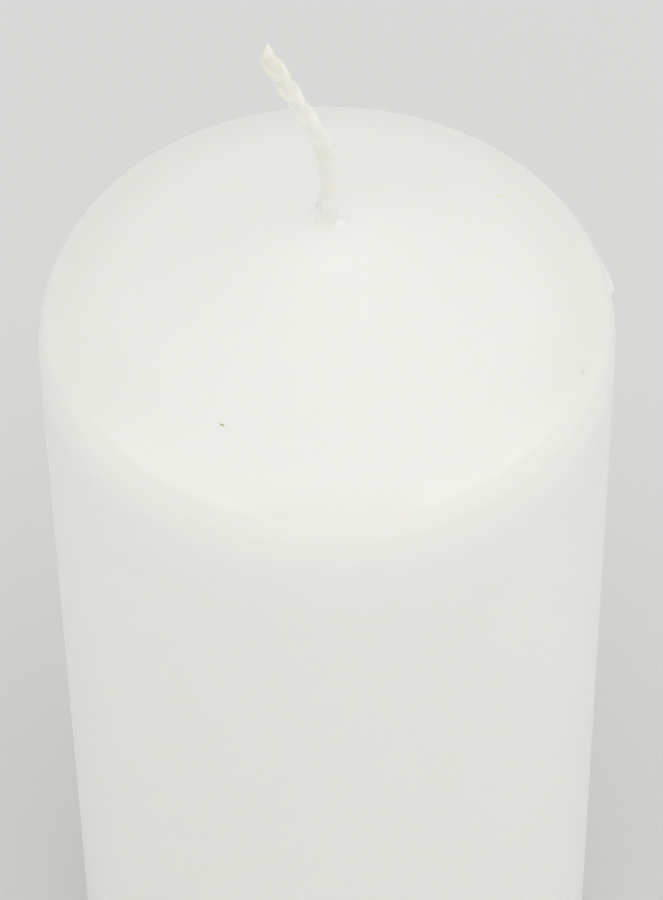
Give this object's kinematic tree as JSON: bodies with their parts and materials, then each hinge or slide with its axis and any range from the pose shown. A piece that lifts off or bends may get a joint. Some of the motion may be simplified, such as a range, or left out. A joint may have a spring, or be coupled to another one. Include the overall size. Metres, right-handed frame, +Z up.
{
  "type": "pillar candle",
  "caption": "Mold-cast pillar candle: straight round wax body, rounded shoulder, shallow cone top, and a flat braided cotton wick from base to tip.",
  "frame": {"origin": "centre of the flat base", "axes": "+Z up the candle along its axis; the free end of the wick leans towards -X; the wick's broad face looks along -Y"},
  "size_m": [0.07, 0.07, 0.1798],
  "materials": {
    "wax": "white candle wax, smooth from the mold, soft sheen, slightly translucent",
    "wick": "braided cotton primed with wax, off-white, matt with waxy patches"
  },
  "bodies": {
    "root": {"wax_body": "wax", "wick_strand_a": "wick", "wick_strand_b": "wick", "wick_strand_c": "wick"}
  },
  "joints": []
}
